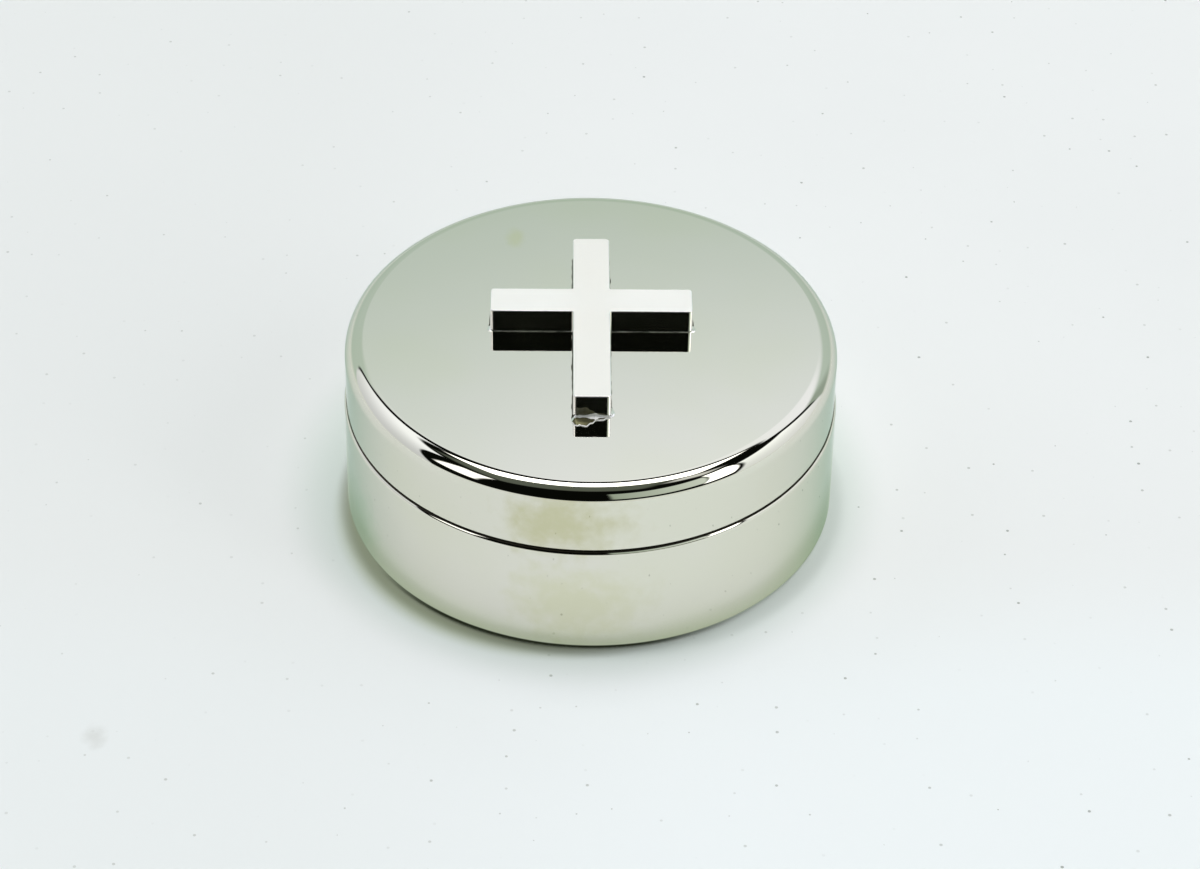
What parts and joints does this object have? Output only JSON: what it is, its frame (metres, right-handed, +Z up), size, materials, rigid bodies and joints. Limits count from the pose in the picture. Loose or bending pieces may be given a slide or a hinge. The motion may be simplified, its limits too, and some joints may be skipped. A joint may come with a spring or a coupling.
{
  "type": "round covered box",
  "caption": "Small round metal host box: straight-walled base with an inner collar, and a lift-off slip lid that carries a solid cross.",
  "frame": {"origin": "centre of the underside, on the surface that the box stands on", "axes": "+Z up through the lid; the foot of the cross points to -Y and its side arms lie along X"},
  "size_m": [0.06, 0.06, 0.0266],
  "materials": {
    "nickel_plate": "mirror-polished nickel plate on sheet brass, gilt inside",
    "gilt": "soft-polished gilding on sheet brass",
    "cross_plate": "polished nickel plate on a solid bar, a little softer than the lid",
    "rivet_metal": "plated pin, peened by hand and left satin"
  },
  "bodies": {
    "base": {"base_wall": "nickel_plate", "base_floor": "nickel_plate"},
    "collar": {"inner_band": "gilt"},
    "lid": {"lid_shell": "nickel_plate", "cross": "cross_plate", "cross_rivet_upper": "rivet_metal", "cross_rivet_lower": "rivet_metal"}
  },
  "joints": [
    {"name": "lid_turn", "type": "hinge", "parent": "base", "child": "collar", "pos_m": [0, 0, 0.01475], "axis": [0, 0, 1], "continuous": true},
    {"name": "lid_lift", "type": "slide", "parent": "collar", "child": "lid", "axis": [0, 0, 1], "range_m": [0, 0.06]}
  ]
}
